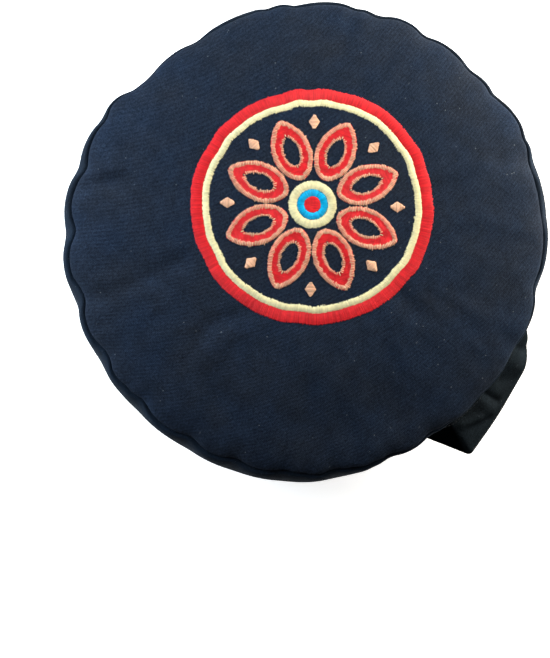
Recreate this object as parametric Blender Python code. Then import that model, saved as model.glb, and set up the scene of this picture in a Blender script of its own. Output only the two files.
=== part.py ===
"""Round floor cushion for meditation (a zafu), lying on its base.

A filled drum has the side band as its wall. A cloth panel is sewn over each end of it, and a folded
cloth strap stands off the wall as a carrying handle. The sewing gathers the cloth, so the two seams
run in uneven scallops: every pucker is a row of PUCKERS, and the flute that it starts fades out down
the wall and across the panels.

Frame, in metres: the origin is the centre of the base on the floor, +Z runs up through the crown,
and the handle is on the -Y side. Angles are in degrees about +Z from +X.
"""

import math
from typing import NamedTuple

import bpy
from mathutils import Vector

# ---------------------------------------------------------------- driving dimensions

SEAM_RADIUS = 0.155  # the panels measure 310 mm across, seam to seam
LOWER_SEAM = 0.014  # height of the seam round the base
UPPER_SEAM = 0.124  # height of the seam round the top
CROWN = 0.016  # rise of the top panel from its seam to its middle
CROWN_FULLNESS = 0.45  # exponent of the crown: under 1 rounds the edge over
REST_RADIUS = 0.112  # the base lies flat on the floor inside this radius
WALL_FULLNESS = 0.42  # exponent of the wall's swell: under 1 fills it out close to the seams
WALL_STRAIGHTNESS = 2.6  # exponent of the height: over 2 keeps the middle of the wall upright
CLOTH = 0.0016  # thickness of a sewn panel with its turned edge
GAP = 0.0003  # clearance between two pieces that touch

PUCKER_COLUMNS = 4  # mesh columns from one pucker to the next
CUSHION_SHARP = 50  # degrees: an edge that turns more than this is shaded sharp
STRAP_SHARP = 35
FLUTE_AT_MIDDLE = 0.3  # share of the scallop that is left at the middle of the wall
CREASE = 0.0014  # deepest dent that a pucker makes in a panel

STRAP_WIDTH = 0.0385
STRAP_THICKNESS = 0.003
STRAP_TOP = 0.0885  # height of the strap's upper edge

# Where the seams are pinched, how far they stand from SEAM_RADIUS there and at the crest of the
# cloth halfway to the next pucker, and how far the wall stands from it at mid-height. The handle,
# at -91 degrees, pulls the wall flat behind it, and another hollow runs down it at 80 degrees.
PUCKERS = (
    # angle, at_pucker, at_crest, at_wall
    (-46, -0.0015, -0.0012, 0.0080),
    (-34, -0.0016, 0.0030, 0.0090),
    (-15, -0.0008, -0.0001, 0.0080),
    (-6, -0.0012, 0.0014, 0.0080),
    (8, -0.0006, 0.0027, 0.0080),
    (20, -0.0008, 0.0022, 0.0090),
    (39, 0.0003, 0.0010, 0.0080),
    (52, 0.0000, -0.0022, 0.0070),
    (68, -0.0052, -0.0040, 0.0020),
    (82, -0.0050, -0.0048, 0.0000),
    (88, -0.0038, 0.0018, 0.0020),
    (98, -0.0002, 0.0014, 0.0100),
    (111, -0.0022, 0.0028, 0.0120),
    (127, -0.0020, 0.0030, 0.0118),
    (144, -0.0028, 0.0014, 0.0094),
    (158, -0.0022, 0.0012, 0.0085),
    (173, -0.0024, 0.0008, 0.0088),
    (188, -0.0028, 0.0008, 0.0088),
    (200, -0.0020, 0.0010, 0.0095),
    (212, -0.0014, 0.0014, 0.0094),
    (225, -0.0016, 0.0004, 0.0068),
    (238, -0.0032, -0.0012, 0.0018),
    (249, -0.0046, -0.0014, -0.0008),
    (264, -0.0022, -0.0010, -0.0028),
    (279, -0.0022, -0.0004, -0.0018),
    (295, -0.0042, -0.0008, 0.0040),
)

# Rings of the two panels, as shares of the way from the middle to the seam.
CROWN_RINGS = (0, 0.22, 0.44, 0.62, 0.76, 0.87, 0.94, 0.975, 0.993, 1)
REST_RINGS = (0, 0.5, 1)  # inside REST_RADIUS
ROLL_RINGS = (0.3, 0.55, 0.75, 0.89, 0.97, 1)  # from REST_RADIUS out to the seam
WALL_ROWS = (0.015, 0.05, 0.1, 0.18, 0.3, 0.43, 0.57, 0.7, 0.82, 0.9, 0.95, 0.985)
CROWN_CALM = 0.7  # inside this share of the radius the top panel is smooth
BASE_CALM = 0.74

# Corners of the strap's path: how far along it (+X) and out from the cushion's middle (-Y) its two
# edges run, and how far from the corner the rounding starts. The first and last stand on the wall.
STRAP_CORNERS = (
    # top_along, top_out, bottom_along, bottom_out, ease
    (-0.0580, 0.1433, -0.0535, 0.1450, 0),
    (-0.0360, 0.1556, -0.0430, 0.1830, 0.0035),
    (-0.0100, 0.1611, -0.0100, 0.1832, 0.0140),
    (0.0340, 0.1580, 0.0335, 0.1780, 0.0060),
    (0.0480, 0.1540, 0.0465, 0.1690, 0.0060),
    (0.0620, 0.1455, 0.0600, 0.1460, 0),
)
STRAP_ROUNDING = 5  # points round one corner of the strap
STRAP_ROWS = 6  # mesh rows across the strap

# ---------------------------------------------------------------- finishes

FINISHES = {
    # name: (colour as 0-255 screen values, roughness, metallic)
    "top_panel": ((40, 54, 70), 0.86, 0.0),
    "filled_band": ((31, 41, 54), 0.88, 0.0),
    "bottom_panel": ((35, 47, 62), 0.88, 0.0),
    "carry_handle": ((29, 36, 41), 0.8, 0.0),
}


def linear(screen_value):
    """Screen colour value 0-255 as the linear value that a shader takes."""
    share = screen_value / 255
    return share / 12.92 if share <= 0.04045 else ((share + 0.055) / 1.055) ** 2.4


def cloth_material(name):
    screen, roughness, metallic = FINISHES[name]
    material = bpy.data.materials.new(name + "_cloth")
    material.use_nodes = True
    shader = material.node_tree.nodes["Principled BSDF"]
    colour = (*map(linear, screen), 1)
    shader.inputs["Base Color"].default_value = colour
    shader.inputs["Roughness"].default_value = roughness
    shader.inputs["Metallic"].default_value = metallic
    material.diffuse_color = colour
    return material


# ---------------------------------------------------------------- scallops of the seams


class Column(NamedTuple):
    """One upright line of the mesh: its angle, the seams' and the wall's offset, and its pinch."""

    angle: float
    seam: float
    wall: float
    pinch: float  # 1 at a pucker, 0 at the crest between two


def mix(first, second, share):
    return first + (second - first) * share


def seam_columns():
    """Columns from pucker to pucker. Between two puckers the cloth stands out in a low arch."""
    columns = []
    first = PUCKERS[0]
    following = (*PUCKERS[1:], (first[0] + 360, *first[1:]))
    for here, after in zip(PUCKERS, following):
        angle, seam, crest, wall = here
        next_angle, next_seam, _, next_wall = after
        rise = crest - (seam + next_seam) / 2
        for step in range(PUCKER_COLUMNS):
            share = step / PUCKER_COLUMNS
            arch = 4 * share * (1 - share)
            columns.append(
                Column(
                    mix(angle, next_angle, share),
                    mix(seam, next_seam, share) + rise * arch,
                    mix(wall, next_wall, share) + rise * arch * FLUTE_AT_MIDDLE,
                    1 - arch,
                )
            )
    return columns


COLUMNS = seam_columns()


def offsets_at(angle):
    """(seam, wall) offsets at any angle, read between the two nearest columns."""
    first = COLUMNS[0]
    turned = first.angle + (angle - first.angle) % 360
    after = [*COLUMNS[1:], first._replace(angle=first.angle + 360)]
    for left, right in zip(COLUMNS, after):
        if turned <= right.angle:
            share = (turned - left.angle) / (right.angle - left.angle)
            break
    return mix(left.seam, right.seam, share), mix(left.wall, right.wall, share)


# ---------------------------------------------------------------- rows of the cushion


class Row(NamedTuple):
    """One ring of the mesh, before the puckers act on it."""

    radius: float
    height: float
    pull: float = 0.0  # share of the seam's scallop that it follows
    crease: float = 0.0  # how far a pucker lifts or lowers it
    swell: float = 0.0  # share of the way from the seam's line to the wall's own


def wall_swell(height):
    """0 at the seams and 1 at the middle of the wall."""
    from_middle = abs(2 * (height - LOWER_SEAM) / (UPPER_SEAM - LOWER_SEAM) - 1)
    return (1 - from_middle**WALL_STRAIGHTNESS) ** WALL_FULLNESS


def wall_radius(angle, height):
    return SEAM_RADIUS + mix(*offsets_at(angle), wall_swell(height))


def wall_rows():
    heights = [mix(LOWER_SEAM, UPPER_SEAM, share) for share in WALL_ROWS]
    return [Row(SEAM_RADIUS, height, 1.0, 0.0, wall_swell(height)) for height in heights]


def crown_profile():
    """(radius, height) of the top panel's outer face, from its middle to the seam."""
    return [
        (SEAM_RADIUS * share, UPPER_SEAM + CROWN * (1 - share**2) ** CROWN_FULLNESS)
        for share in CROWN_RINGS
    ]


def base_profile():
    """(radius, height) of the base panel's outer face: flat, then rolled up to its seam."""
    flat = [(REST_RADIUS * share, 0.0) for share in REST_RINGS]
    roll = [
        (
            REST_RADIUS + (SEAM_RADIUS - REST_RADIUS) * share,
            LOWER_SEAM * (1 - math.sqrt(1 - share**2)),
        )
        for share in ROLL_RINGS
    ]
    return flat + roll


def panel_layer(profile, calm, up, depth):
    """Rows of a face of a panel, `depth` under its outer face. `up` is 1 on top, -1 at the base."""
    rows = []
    last = len(profile) - 1
    for i, (radius, height) in enumerate(profile):
        before, after = profile[max(i - 1, 0)], profile[min(i + 1, last)]
        run = Vector((after[0] - before[0], after[1] - before[1])).normalized()
        if i == 0:
            run = Vector((1, 0))
        share = radius / SEAM_RADIUS
        pull = max(0.0, (share - calm) / (1 - calm)) ** 2
        rows.append(
            Row(
                radius + up * run.y * depth,
                height - up * run.x * depth,
                pull,
                -up * CREASE * 4 * pull * (1 - pull),
            )
        )
    return rows


def rim_row(profile, up, depth):
    """The drum's own corner under a panel's rim: past the rim by the gap, along the panel."""
    before, rim = profile[-2], profile[-1]
    run = Vector((rim[0] - before[0], rim[1] - before[1])).normalized()
    return Row(
        rim[0] + run.x * GAP + up * run.y * depth,
        rim[1] + run.y * GAP - up * run.x * depth,
        1.0,
    )


# ---------------------------------------------------------------- meshes


def row_points(row):
    """The row's points, one for each column, or its single point on the axis."""
    if row.radius <= 0:
        return [Vector((0, 0, row.height))]
    points = []
    for column in COLUMNS:
        radius = row.radius + mix(column.seam * row.pull, column.wall, row.swell)
        height = row.height + row.crease * column.pinch
        turn = math.radians(column.angle)
        points.append(Vector((radius * math.cos(turn), radius * math.sin(turn), height)))
    return points


def faces_between(lower, upper, outward=True):
    """Triangles between two rings of point numbers, or a fan where one of them is a single point.

    A patch is split from the inner ring's point to the outer ring's next one, whichever way the
    rings run, so two layers that lie on each other are split alike and stay the gap apart.
    """
    count = max(len(lower), len(upper))
    faces = []
    for i in range(count):
        after = (i + 1) % count
        if len(lower) == 1:
            faces.append((lower[0], upper[after], upper[i]))
        elif len(upper) == 1:
            faces.append((lower[i], lower[after], upper[0]))
        elif outward:
            faces.append((lower[i], lower[after], upper[after]))
            faces.append((lower[i], upper[after], upper[i]))
        else:
            faces.append((lower[i], lower[after], upper[i]))
            faces.append((lower[after], upper[after], upper[i]))
    return faces


def add_piece(name, points, faces, sharp):
    """A named mesh object of one closed body, in its own cloth."""
    mesh = bpy.data.meshes.new(name)
    mesh.from_pydata(points, [], faces)
    mesh.shade_smooth()
    mesh.set_sharp_from_angle(angle=math.radians(sharp))
    mesh.materials.append(cloth_material(name))
    piece = bpy.data.objects.new(name, mesh)
    bpy.context.scene.collection.objects.link(piece)
    piece.parent = bpy.data.objects["zafu"]


def turned_piece(name, rows):
    """A closed body through rows that run from its lower pole, round its outside, to its upper one."""
    points, rings = [], []
    for row in rows:
        ring = row_points(row)
        rings.append(range(len(points), len(points) + len(ring)))
        points.extend(ring)
    faces = []
    for i in range(1, len(rows)):
        outward = rows[i].radius > rows[i - 1].radius
        faces.extend(faces_between(rings[i - 1], rings[i], outward))
    add_piece(name, points, faces, CUSHION_SHARP)


def add_panels_and_drum():
    under = CLOTH + GAP
    crown, base = crown_profile(), base_profile()
    drum = [
        *panel_layer(base, BASE_CALM, -1, under),
        rim_row(base, -1, under),
        rim_row(base, -1, 0),
        *wall_rows(),
        rim_row(crown, 1, 0),
        rim_row(crown, 1, under),
        *reversed(panel_layer(crown, CROWN_CALM, 1, under)),
    ]
    turned_piece("filled_band", drum)
    inner, outer = (panel_layer(crown, CROWN_CALM, 1, depth) for depth in (CLOTH, 0))
    turned_piece("top_panel", [*inner, *reversed(outer)])
    outer, inner = (panel_layer(base, BASE_CALM, -1, depth) for depth in (0, CLOTH))
    turned_piece("bottom_panel", [*outer, *reversed(inner)])


# ---------------------------------------------------------------- handle


def rounded_path(corners):
    """Points along straight runs whose inner corners are rounded, from (point, ease) pairs."""
    path = [corners[0][0]]
    for (before, _), (corner, ease), (after, _) in zip(corners, corners[1:], corners[2:]):
        start = corner + (before - corner).normalized() * ease
        end = corner + (after - corner).normalized() * ease
        for step in range(STRAP_ROUNDING):
            share = step / (STRAP_ROUNDING - 1)
            path.append(
                start * (1 - share) ** 2 + corner * 2 * share * (1 - share) + end * share**2
            )
    path.append(corners[-1][0])
    return path


def strap_edges():
    """The strap's upper and lower edge along the middle of its thickness, as points in space."""
    upper = rounded_path([(Vector((a, out)), ease) for a, out, _, _, ease in STRAP_CORNERS])
    lower = rounded_path([(Vector((a, out)), ease) for _, _, a, out, ease in STRAP_CORNERS])
    edges = []
    for high, low in zip(upper, lower):
        drop = math.sqrt(STRAP_WIDTH**2 - (low - high).length_squared)
        edges.append(
            (Vector((high.x, -high.y, STRAP_TOP)), Vector((low.x, -low.y, STRAP_TOP - drop)))
        )
    return edges


def on_wall(point):
    """The point moved in or out until it clears the wall by the gap."""
    angle = math.degrees(math.atan2(point.y, point.x))
    clear = wall_radius(angle, point.z) + GAP
    flat = Vector((point.x, point.y)).normalized() * clear
    return Vector((flat.x, flat.y, point.z))


def add_handle():
    """The strap as a closed ribbon: its outer face, its inner face and the edges between them."""
    edges = strap_edges()
    last = len(edges) - 1
    points = []
    for i, (upper, lower) in enumerate(edges):
        before, after = edges[max(i - 1, 0)], edges[min(i + 1, last)]
        run = (after[0] + after[1] - before[0] - before[1]).normalized()
        out = run.cross(upper - lower).normalized() * (STRAP_THICKNESS / 2)
        across = [lower.lerp(upper, row / STRAP_ROWS) for row in range(STRAP_ROWS + 1)]
        ring = [point - out for point in across] + [point + out for point in reversed(across)]
        points.extend(map(on_wall, ring) if i in (0, last) else ring)
    size = 2 * (STRAP_ROWS + 1)
    rings = [range(i * size, (i + 1) * size) for i in range(last + 1)]
    faces = [face for pair in zip(rings, rings[1:]) for face in faces_between(*pair)]
    for ring, turned in ((rings[0], True), (rings[-1], False)):
        for row in range(STRAP_ROWS):
            quad = (ring[row], ring[row + 1], ring[size - 2 - row], ring[size - 1 - row])
            faces.append(tuple(reversed(quad)) if turned else quad)
    add_piece("carry_handle", points, faces, STRAP_SHARP)


# ---------------------------------------------------------------- the cushion


def clear_scene():
    for old in list(bpy.data.objects):
        bpy.data.objects.remove(old, do_unlink=True)


def main():
    clear_scene()
    root = bpy.data.objects.new("zafu", None)
    bpy.context.scene.collection.objects.link(root)
    add_panels_and_drum()
    add_handle()


main()
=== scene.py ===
# %% [markdown]
# # A round meditation cushion, cell by cell
# The cushion is a zafu: a filled drum of navy cotton twill. A round panel is sewn over each end of
# a side band, an embroidered medallion sits on the top panel, and a folded strap is the handle.
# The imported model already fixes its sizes. This script makes the cloth, the thread and the sewing
# round it, and starts by loading that model as a frame.

import math

import bpy
import numpy as np
from mathutils import Matrix, Vector
from mathutils.bvhtree import BVHTree


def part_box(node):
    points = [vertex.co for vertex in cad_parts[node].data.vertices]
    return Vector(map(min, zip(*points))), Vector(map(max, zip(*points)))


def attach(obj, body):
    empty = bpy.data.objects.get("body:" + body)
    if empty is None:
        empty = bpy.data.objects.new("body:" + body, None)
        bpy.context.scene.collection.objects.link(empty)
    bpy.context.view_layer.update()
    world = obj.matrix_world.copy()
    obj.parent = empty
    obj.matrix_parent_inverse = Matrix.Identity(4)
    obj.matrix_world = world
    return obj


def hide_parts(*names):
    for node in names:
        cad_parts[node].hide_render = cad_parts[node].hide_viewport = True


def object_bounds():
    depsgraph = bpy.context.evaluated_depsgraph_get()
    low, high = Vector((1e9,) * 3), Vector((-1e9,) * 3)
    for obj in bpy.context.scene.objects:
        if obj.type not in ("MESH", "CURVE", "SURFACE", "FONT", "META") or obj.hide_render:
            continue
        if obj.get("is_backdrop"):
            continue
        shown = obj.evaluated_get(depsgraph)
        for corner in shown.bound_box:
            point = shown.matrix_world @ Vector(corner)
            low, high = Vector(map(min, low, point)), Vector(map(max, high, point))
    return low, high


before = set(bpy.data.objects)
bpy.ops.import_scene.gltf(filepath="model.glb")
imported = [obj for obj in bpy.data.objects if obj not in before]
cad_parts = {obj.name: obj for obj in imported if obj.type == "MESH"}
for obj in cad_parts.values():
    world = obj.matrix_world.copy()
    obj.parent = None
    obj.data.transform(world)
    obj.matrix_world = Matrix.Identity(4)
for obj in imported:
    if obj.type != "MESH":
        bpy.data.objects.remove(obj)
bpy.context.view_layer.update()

# %% [markdown]
# Operators act on whatever is selected, so every step starts from an empty selection. These helpers
# clear it, apply what a modifier does, and read or write a mesh's points all at once.

# %% Selection and mesh helpers
def only(obj):
    """Selects one object alone and makes it active."""
    if bpy.context.object and bpy.context.object.mode != "OBJECT":
        bpy.ops.object.mode_set(mode="OBJECT")
    bpy.ops.object.select_all(action="DESELECT")
    obj.select_set(True)
    bpy.context.view_layer.objects.active = obj
    return obj


def apply_modifiers(obj):
    only(obj)
    for modifier in list(obj.modifiers):
        bpy.ops.object.modifier_apply(modifier=modifier.name)


def points_of(mesh):
    """The mesh's points as an array, a row for each."""
    flat = np.empty(len(mesh.vertices) * 3)
    mesh.vertices.foreach_get("co", flat)
    return flat.reshape(-1, 3)


def set_points(mesh, points):
    mesh.vertices.foreach_set("co", np.ascontiguousarray(points, float).ravel())
    mesh.update()


def select_points(obj, chosen):
    """Opens the object in edit mode with the chosen points, and what lies between them, selected."""
    only(obj)
    bpy.ops.object.mode_set(mode="EDIT")
    bpy.ops.mesh.select_mode(type="VERT")
    bpy.ops.mesh.select_all(action="DESELECT")
    bpy.ops.object.mode_set(mode="OBJECT")
    obj.data.vertices.foreach_set("select", np.ascontiguousarray(chosen, bool))
    bpy.ops.object.mode_set(mode="EDIT")


# %% [markdown]
# The camera stands where the photographer stood: above the cushion and a little to one side, with
# the picture's right towards the strap. Its height comes from how much the crown hides of the far
# side of the wall. A turn about the line of sight sets which way is up in the picture.

# %% Camera
CAMERA_PLACE = Vector((-0.0951, -0.0454, 0.6638))
CAMERA_AIM = Vector((-0.0624, -0.0206, 0.1240))
PICTURE_UP = Vector((0.7880, 0.6157, 0.0))  # the direction on the floor that is up in the picture
PICTURE_RIGHT = Vector((0.6157, -0.7880, 0.0))
CAMERA_LENS = 45.47  # mm, with the picture's 36 mm long side upright


def place_camera():
    data = bpy.data.cameras.new("camera")
    data.lens = CAMERA_LENS
    data.sensor_fit = "AUTO"
    data.sensor_width = 36
    camera = bpy.data.objects.new("camera", data)
    bpy.context.scene.collection.objects.link(camera)
    sight = (CAMERA_AIM - CAMERA_PLACE).normalized()
    up = (PICTURE_UP - sight * PICTURE_UP.dot(sight)).normalized()
    right = sight.cross(up)
    turn = Matrix((right, up, -sight)).transposed()
    camera.matrix_world = Matrix.Translation(CAMERA_PLACE) @ turn.to_4x4()
    bpy.context.scene.camera = camera


place_camera()
print("camera:", CAMERA_LENS, "mm lens,", round(CAMERA_PLACE.z, 3), "m above the floor")

# %% [markdown]
# Dark cloth shows its form only by light that comes from the side. Two wide lamps stand low beside
# the cushion: a warm one beyond the picture's upper right and a cooler one to its left. The crown is
# lighter towards them and falls off towards the picture's lower edge.

# %% Lamps
LAMPS = (
    # name, degrees round from the picture's right, degrees up, metres away, watts, colour
    ("right_lamp", 32, 8, 0.60, 14.6, (1.0, 0.95, 0.86)),
    ("left_lamp", 158, 18, 0.60, 8.4, (0.78, 0.90, 1.0)),
)
LAMP_SIZE = 0.5
MIDDLE = Vector((0, 0, 0.13))  # what the lamps point at


def add_lamp(name, round_from_right, up, away, power, colour):
    turn, rise = math.radians(round_from_right), math.radians(up)
    level = PICTURE_RIGHT * math.cos(turn) + PICTURE_UP * math.sin(turn)
    data = bpy.data.lights.new(name, "AREA")
    data.shape = "DISK"
    data.size = LAMP_SIZE
    data.energy = power
    data.color = colour
    lamp = bpy.data.objects.new(name, data)
    bpy.context.scene.collection.objects.link(lamp)
    lamp.location = MIDDLE + (level * math.cos(rise) + Vector((0, 0, math.sin(rise)))) * away
    lamp.rotation_euler = (MIDDLE - lamp.location).to_track_quat("-Z", "Y").to_euler()
    lamp.visible_camera = False
    print(name, power, "W at", [round(place, 2) for place in lamp.location], "m")


for lamp in LAMPS:
    add_lamp(*lamp)

# %% [markdown]
# A dim sky fills the shadows. The camera sees it white all the same, because a light path node tells
# what the camera looks at from what lights the cloth.

# %% Sky
SKY = 0.17  # what the sky gives as light
BACKDROP = 1.0  # how bright it looks


def set_sky():
    world = bpy.data.worlds.new("sky")
    world.use_nodes = True
    tree = world.node_tree
    light = tree.nodes.new("ShaderNodeLightPath")
    level = tree.nodes.new("ShaderNodeMapRange")
    level.inputs["To Min"].default_value = SKY
    level.inputs["To Max"].default_value = BACKDROP
    tree.links.new(light.outputs["Is Camera Ray"], level.inputs["Value"])
    tree.nodes["Background"].inputs["Color"].default_value = (1, 1, 1, 1)
    tree.links.new(level.outputs[0], tree.nodes["Background"].inputs["Strength"])
    bpy.context.scene.world = world


set_sky()
bpy.context.scene.view_settings.view_transform = "Standard"
print("sky:", SKY, "as light,", BACKDROP, "to the camera")

# %% [markdown]
# The floor is white paper. It glows, which keeps it white where the cushion shades it, but it throws
# no light back up, because that would flatten the dark cloth's lower side.

# %% Floor
FLOOR_SIZE = 8.0
FLOOR_DROP = 0.0002  # how far it lies below the cushion's base
FLOOR_GLOW = 0.72


def add_floor():
    bpy.ops.mesh.primitive_plane_add(size=FLOOR_SIZE, location=(0, 0, -FLOOR_DROP))
    floor = bpy.context.object
    floor.name = "floor"
    paper = bpy.data.materials.new("pale_floor")
    paper.use_nodes = True
    shader = paper.node_tree.nodes["Principled BSDF"]
    shader.inputs["Base Color"].default_value = (0.9, 0.9, 0.9, 1)
    shader.inputs["Roughness"].default_value = 0.9
    shader.inputs["Emission Color"].default_value = (1, 1, 1, 1)
    shader.inputs["Emission Strength"].default_value = FLOOR_GLOW
    floor.data.materials.append(paper)
    floor.visible_diffuse = False  # throws no light back
    floor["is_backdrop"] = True


add_floor()
print("floor:", FLOOR_SIZE, "m square")

# %% [markdown]
# ## The cover
# A maker cuts two discs and one long band, and sews the discs to the band's edges. The sewing
# gathers the cloth, so the seam runs in uneven scallops. The frame's solids hold those scallops.
# Here each one is read as an outline: the largest radius at each angle between two heights.

# %% Sizes and outlines of the cover
SEAM_RADIUS = 0.155
LOWER_SEAM = 0.014
UPPER_SEAM = 0.124
CROWN_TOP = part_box("top_panel")[1].z
REST_RADIUS = 0.112  # of the flat patch that the cushion lies on
TOP_RIM = (0.1200, 0.1245)  # the heights between which an outline is read
BASE_RIM = (0.0135, 0.0150)
WALL_MIDDLE = (0.0550, 0.0850)
TURN = 2 * math.pi


def outline_of(node, low, high):
    """Angles and radii of the node's outermost points between two heights, once round."""
    points = points_of(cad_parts[node].data)
    points = points[(points[:, 2] > low) & (points[:, 2] < high)]
    angles = np.round(np.degrees(np.arctan2(points[:, 1], points[:, 0])) % 360, 1)
    radii = np.hypot(points[:, 0], points[:, 1])
    steps = np.unique(angles)
    return np.radians(steps), np.array([radii[angles == step].max() for step in steps])


top_seam = outline_of("top_panel", *TOP_RIM)
base_seam = outline_of("bottom_panel", *BASE_RIM)
wall_line = outline_of("filled_band", *WALL_MIDDLE)
for name, (_, radii) in (("seam", top_seam), ("wall", wall_line)):
    print(name, "stands at", round(radii.min() * 1000, 1), "to", round(radii.max() * 1000, 1), "mm")

# %% [markdown]
# At any other angle the radius is read from a smooth curve through those points. Between two of them
# the curve is a cubic, and at each one its slope is that from the point before to the point after,
# so the scallops have no corners.

# %% A smooth curve all round
def smooth_round(angles, values, at):
    """Values at any angles, on a smooth curve through the given ones that closes on itself."""
    around = np.concatenate([angles - TURN, angles, angles + TURN])
    held = np.tile(values, 3)
    at = np.asarray(at) % TURN
    after = np.searchsorted(around, at, side="right")
    four = [held[after + place] for place in (-2, -1, 0, 1)]
    share = (at - around[after - 1]) / (around[after] - around[after - 1])
    slope_in, slope_out = (four[2] - four[0]) / 2, (four[3] - four[1]) / 2
    square, cube = share**2, share**3
    return (
        four[1] * (2 * cube - 3 * square + 1) + slope_in * (cube - 2 * square + share)
        + four[2] * (3 * square - 2 * cube) + slope_out * (cube - square)
    )


strap_side = smooth_round(*top_seam, [-TURN / 4])[0]
print("on the strap's side the seam is", round(strap_side * 1000, 1), "mm out")

# %% [markdown]
# The cover starts as the pattern pieces themselves: a tube of the band's height, closed by two flat
# discs. The tube comes first. It is a cylinder without ends, and its upright edges are cut into rows.

# %% The band as a tube
COLUMNS = 208
WALL_CUTS = 27
TOLERANCE = 1e-5  # measures that are nearer to each other than this are the same


def make_tube():
    bpy.ops.mesh.primitive_cylinder_add(
        vertices=COLUMNS,
        radius=SEAM_RADIUS,
        depth=UPPER_SEAM - LOWER_SEAM,
        end_fill_type="NOTHING",
        location=(0, 0, (UPPER_SEAM + LOWER_SEAM) / 2),
    )
    tube = only(bpy.context.object)
    bpy.ops.object.transform_apply(location=True)
    bpy.ops.object.mode_set(mode="EDIT")
    bpy.ops.mesh.select_mode(type="EDGE")
    bpy.ops.mesh.select_all(action="DESELECT")
    bpy.ops.object.mode_set(mode="OBJECT")
    for edge in tube.data.edges:
        first, last = (tube.data.vertices[i].co for i in edge.vertices)
        edge.select = abs(first.z - last.z) > TOLERANCE
    bpy.ops.object.mode_set(mode="EDIT")
    bpy.ops.mesh.subdivide(number_cuts=WALL_CUTS)
    bpy.ops.object.mode_set(mode="OBJECT")
    return tube


cover = make_tube()
cover.name = "cover"
print("tube:", len(cover.data.vertices), "points in", WALL_CUTS + 2, "rows")

# %% [markdown]
# Each disc is drawn in ring by ring from its seam, closely at first, and its middle is filled with a
# square grid, because a fan of thin triangles there would pucker on its own.

# %% Close the tube with two discs
DISC_RINGS = 22
DISC_MIDDLE = 0.55  # share of the disc's radius that the square grid fills
CROWDING = 2.6  # over 1 brings rings and rows together at the seams


def close_end(tube, height):
    """Extrudes the tube's end inwards ring by ring and fills what is left."""
    select_points(tube, np.abs(points_of(tube.data)[:, 2] - height) < TOLERANCE)
    share = 1.0
    for ring in range(1, DISC_RINGS + 1):
        smaller = 1 - (1 - DISC_MIDDLE) * (ring / DISC_RINGS) ** CROWDING
        scale = smaller / share
        bpy.ops.mesh.extrude_edges_move()
        bpy.ops.transform.resize(value=(scale, scale, 1), center_override=(0, 0, height))
        share = smaller
    bpy.ops.mesh.fill_grid(span=COLUMNS // 4)
    bpy.ops.object.mode_set(mode="OBJECT")


close_end(cover, UPPER_SEAM)
close_end(cover, LOWER_SEAM)
bpy.ops.object.mode_set(mode="EDIT")
bpy.ops.mesh.select_all(action="SELECT")
bpy.ops.mesh.normals_make_consistent(inside=False)
bpy.ops.object.mode_set(mode="OBJECT")
pattern = points_of(cover.data)
from_seam = np.minimum(abs(pattern[:, 2] - UPPER_SEAM), abs(pattern[:, 2] - LOWER_SEAM))
seam_rings = (np.hypot(*pattern[:, :2].T) > SEAM_RADIUS - TOLERANCE) & (from_seam < TOLERANCE)
print("cover:", len(pattern), "points,", seam_rings.sum(), "of them on the two seams")

# %% [markdown]
# A weave follows the cloth, not the room. So the flat places of the pattern pieces are kept now as
# a UV map in metres: the discs as they lie, and the band unrolled. A second map counts the twill's
# raised lines. They run aslant, and the sewing has pulled the disc a little out of square, so their
# direction and spacing drift across it.

# %% Keep the flat pattern and count the twill lines
BAND, TOP, BASE = 0, 1, 2  # the number of each cloth's material
LINES_EACH_METRE = Vector((150, 360))  # how fast the count grows along X and Y at the middle
LINES_DRIFT = (-550, 400, -400)  # its change with X squared, with X times Y and with Y squared


def twill_lines(x, y):
    """Number of twill lines from the middle of the cloth to a place on it."""
    xx, xy, yy = LINES_DRIFT
    straight = LINES_EACH_METRE[0] * x + LINES_EACH_METRE[1] * y
    return straight + xx * x * x + xy * x * y + yy * y * y


def keep_flat_pattern(mesh):
    while mesh.uv_layers:
        mesh.uv_layers.remove(mesh.uv_layers[0])
    cut, lines = mesh.uv_layers.new(name="cut"), mesh.uv_layers.new(name="lines")
    for face in mesh.polygons:
        up = face.normal.z
        face.material_index = TOP if up > 0.5 else BASE if up < -0.5 else BAND
        corners = [mesh.vertices[mesh.loops[i].vertex_index].co for i in face.loop_indices]
        flat = [(corner.x, corner.y) for corner in corners]
        if face.material_index == BAND:
            turns = [math.atan2(corner.y, corner.x) for corner in corners]
            if max(turns) - min(turns) > math.pi:
                turns = [turn + TURN if turn < 0 else turn for turn in turns]
            flat = [(turn * SEAM_RADIUS, corner.z) for turn, corner in zip(turns, corners)]
        for i, (x, y) in zip(face.loop_indices, flat):
            cut.data[i].uv = (x, y)
            straight = LINES_EACH_METRE.dot((x, y))
            lines.data[i].uv = (straight if face.material_index == BAND else twill_lines(x, y), 0)


keep_flat_pattern(cover.data)
print("twill lines lie", round(1000 / LINES_EACH_METRE.length, 1), "mm apart at the middle")

# %% [markdown]
# Now the pattern takes the filled form. Under each seam the wall swells out quickly and then runs
# almost upright. The top panel is crowned, with its edge rolled over. The base is flat where it
# rests and rolls up to its seam. Where the seam is pinched, a flute fades out into the cloth.

# %% Fill the form
CROWN_FULLNESS = 0.45
WALL_FULLNESS = 0.42
WALL_STRAIGHTNESS = 2.6
CALM = 0.82  # inside this share of the radius a panel doesn't feel the scallops


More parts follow.
